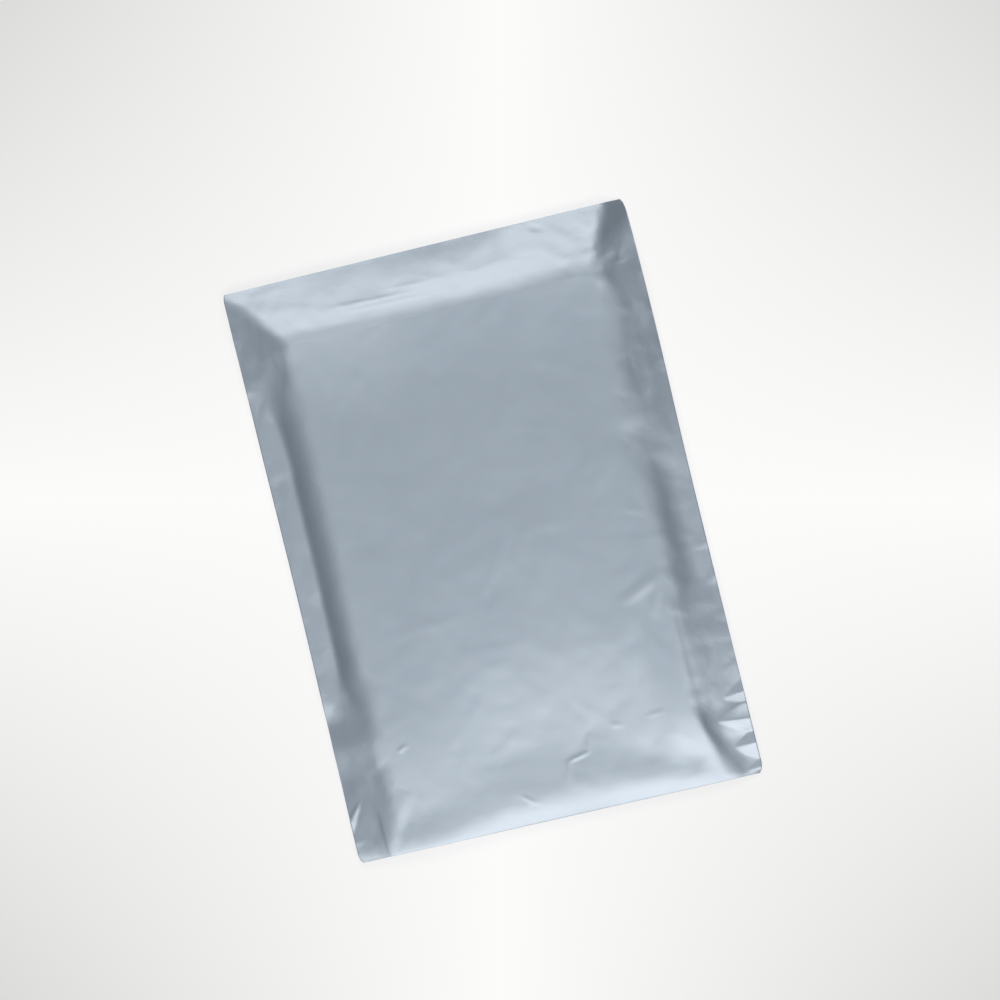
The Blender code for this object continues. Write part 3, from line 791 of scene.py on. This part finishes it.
def bead_tree(material):
    """Nodes that lay a bead of melted film along a path: round, a little uneven, and closed at its ends."""
    tree = bpy.data.node_groups.new("weld_bead", "GeometryNodeTree")
    sockets = tree.interface
    sockets.new_socket("Path", in_out="INPUT", socket_type="NodeSocketGeometry")
    sizes = {}
    for name in ("Bead Radius", "Spacing", "Unevenness", "Seed"):
        size = sockets.new_socket(name, in_out="INPUT", socket_type="NodeSocketFloat")
        sizes[name] = size.identifier
    sockets.new_socket("Bead", in_out="OUTPUT", socket_type="NodeSocketGeometry")
    link = tree.links.new
    given = tree.nodes.new("NodeGroupInput")
    made = tree.nodes.new("NodeGroupOutput")
    path = tree.nodes.new("GeometryNodeMeshToCurve")
    link(given.outputs["Path"], path.inputs["Mesh"])
    even = tree.nodes.new("GeometryNodeResampleCurve")
    even.mode = "LENGTH"
    link(path.outputs["Curve"], even.inputs["Curve"])
    link(given.outputs["Spacing"], even.inputs["Length"])
    place = tree.nodes.new("GeometryNodeInputPosition")
    lumps = add_node(tree, "ShaderNodeTexNoise", Scale=160.0)
    lumps.noise_dimensions = "4D"
    link(place.outputs["Position"], lumps.inputs["Vector"])
    link(given.outputs["Seed"], lumps.inputs["W"])
    centred = add_math(tree, "SUBTRACT", lumps.outputs["Fac"], 0.5)
    swell = add_math(tree, "MULTIPLY_ADD", centred, given.outputs["Unevenness"], 1.0)
    radius = tree.nodes.new("GeometryNodeSetCurveRadius")
    link(even.outputs["Curve"], radius.inputs["Curve"])
    link(swell, radius.inputs["Radius"])
    ring = add_node(tree, "GeometryNodeCurvePrimitiveCircle", Resolution=BEAD_SIDES)
    link(given.outputs["Bead Radius"], ring.inputs["Radius"])
    tube = add_node(tree, "GeometryNodeCurveToMesh", Fill_Caps=True)
    link(radius.outputs["Curve"], tube.inputs["Curve"])
    link(ring.outputs["Curve"], tube.inputs["Profile Curve"])
    smooth = tree.nodes.new("GeometryNodeSetShadeSmooth")
    link(tube.outputs["Mesh"], smooth.inputs["Geometry"])
    real = tree.nodes.new("GeometryNodeRealizeInstances")
    link(smooth.outputs["Geometry"], real.inputs["Geometry"])
    finish = add_node(tree, "GeometryNodeSetMaterial", Material=material)
    link(real.outputs["Geometry"], finish.inputs["Geometry"])
    link(finish.outputs["Geometry"], made.inputs["Bead"])
    return tree, sizes


def weld_bead(skin, side, tree, sizes, seed):
    """The bead along one side's cut edge, as a plain mesh."""
    path = new_piece(side + "_path", edge_path(skin, side))
    layer = path.modifiers.new("bead", "NODES")
    layer.node_group = tree
    layer[sizes["Bead Radius"]] = BEAD_RADIUS * MM
    layer[sizes["Spacing"]] = BEAD_SPACING * MM
    layer[sizes["Unevenness"]] = BEAD_UNEVENNESS
    layer[sizes["Seed"]] = seed
    built = path.evaluated_get(bpy.context.evaluated_depsgraph_get())
    mesh = bpy.data.meshes.new_from_object(built)
    bpy.data.objects.remove(path)
    bead = new_piece(side + "_weld", mesh)
    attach(bead, "root")


def new_piece(name, mesh):
    """An object at the origin, in the scene."""
    piece = bpy.data.objects.new(name, mesh)
    bpy.context.scene.collection.objects.link(piece)
    return piece


def add_floor(roll, target):
    """A white floor with painted shade that greys it towards the picture's corners; it shows the bag's shadow
    faintly.
    """
    mesh = bpy.data.meshes.new("floor")
    corners = [
        (x * FLOOR_REACH, y * FLOOR_REACH, FLOOR_LEVEL) for x, y in ((-1, -1), (1, -1), (1, 1), (-1, 1))
    ]
    mesh.from_pydata(corners, [], [(0, 1, 2, 3)])
    floor = new_piece("floor", mesh)
    material = bpy.data.materials.new("white_floor")
    material.use_nodes = True
    tree = material.node_tree
    link = tree.links.new
    tree.nodes.remove(tree.nodes["Principled BSDF"])
    middle = (target.x, target.y, 0)
    place = tree.nodes.new("ShaderNodeTexCoord").outputs["Object"]
    turned = add_node(tree, "ShaderNodeVectorRotate", Center=middle, Angle=roll)
    link(place, turned.inputs["Vector"])
    centred = add_math(tree, "SUBTRACT", turned.outputs["Vector"], middle, kind="ShaderNodeVectorMath")
    split = tree.nodes.new("ShaderNodeSeparateXYZ")
    link(centred, split.inputs["Vector"])
    away = add_math(tree, "ABSOLUTE", add_math(tree, "MULTIPLY", split.outputs["X"], split.outputs["Y"]))
    half = 0.5 * PICTURE_SPAN
    # Painted shade: the floor's colour and its own glow darken towards the picture's corners.
    shade = add_node(
        tree, "ShaderNodeMapRange", From_Min=0.0, From_Max=half * half, To_Min=1.0, To_Max=FLOOR_PAINTED_CORNER_SHADE
    )
    link(away, shade.inputs["Value"])
    glow = tree.nodes.new("ShaderNodeEmission")
    link(shade.outputs["Result"], glow.inputs["Color"])
    matt = tree.nodes.new("ShaderNodeBsdfDiffuse")
    link(shade.outputs["Result"], matt.inputs["Color"])
    rays = tree.nodes.new("ShaderNodeLightPath").outputs
    seen = add_math(tree, "MAXIMUM", rays["Is Camera Ray"], rays["Is Glossy Ray"])
    seen = add_math(tree, "MAXIMUM", seen, rays["Is Transmission Ray"])
    mix = tree.nodes.new("ShaderNodeMixShader")
    link(add_math(tree, "MULTIPLY", seen, FLOOR_GLOW), mix.inputs["Fac"])
    link(matt.outputs["BSDF"], mix.inputs[1])
    link(glow.outputs["Emission"], mix.inputs[2])
    link(mix.outputs["Shader"], tree.nodes["Material Output"].inputs["Surface"])
    mesh.materials.append(material)


def add_lamp(name, place, size, power):
    """A soft box that faces the bag."""
    lamp = bpy.data.lights.new(name, "AREA")
    lamp.shape = "RECTANGLE"
    lamp.size, lamp.size_y = size
    lamp.energy = power
    lamp.color = LAMP_COLOUR
    box = bpy.data.objects.new(name, lamp)
    box.location = place
    box.rotation_mode = "QUATERNION"
    box.rotation_quaternion = (-Vector(place)).to_track_quat("-Z", "Y")
    bpy.context.scene.collection.objects.link(box)


def add_lights():
    """A soft box beyond each end of the bag, and dim light all round."""
    for soft_box in SOFT_BOXES:
        add_lamp(*soft_box)
    world = bpy.data.worlds.new("studio")
    world.use_nodes = True
    surround = world.node_tree.nodes["Background"]
    surround.inputs["Color"].default_value = (*SURROUND_COLOUR, 1)
    surround.inputs["Strength"].default_value = SURROUND_STRENGTH
    bpy.context.scene.world = world
    bpy.context.scene.view_settings.view_transform = "Standard"


def add_camera():
    """Above the bag, leaning a little to its right, with the bag turned in the picture.

    Returns the place that it aims at.
    """
    towards = Vector((math.sin(CAMERA_LEAN), 0, math.cos(CAMERA_LEAN)))
    right = Vector((0, 1, 0)).cross(towards).normalized()
    up = towards.cross(right)
    turn_cos, turn_sin = math.cos(PICTURE_ROLL), math.sin(PICTURE_ROLL)
    picture_right = right * turn_cos - up * turn_sin
    picture_up = right * turn_sin + up * turn_cos
    aside, above = (PICTURE_SPAN * part for part in BAG_MIDDLE_IN_PICTURE)
    target = Vector((0, 0, BAG_MIDDLE_HEIGHT)) - picture_right * aside - picture_up * above
    turned = Matrix((picture_right, picture_up, towards)).transposed().to_4x4()
    turned.translation = target + towards * CAMERA_HEIGHT
    lens = bpy.data.cameras.new("camera")
    lens.sensor_width = SENSOR
    lens.lens = SENSOR * CAMERA_HEIGHT / PICTURE_SPAN
    camera = bpy.data.objects.new("camera", lens)
    camera.matrix_world = turned
    bpy.context.scene.collection.objects.link(camera)
    bpy.context.scene.camera = camera
    return target


skin = Skin(*skin_lines())
skin.press()
film = new_piece("film", film_mesh(skin))
film.data.materials.append(film_material())
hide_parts("mailer_bag")
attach(film, "root")
bead_nodes, bead_sizes = bead_tree(bead_material())
weld_bead(skin, "left", bead_nodes, bead_sizes, LEFT_BEAD_SEED)
weld_bead(skin, "right", bead_nodes, bead_sizes, RIGHT_BEAD_SEED)

target = add_camera()
add_floor(PICTURE_ROLL, target)
add_lights()
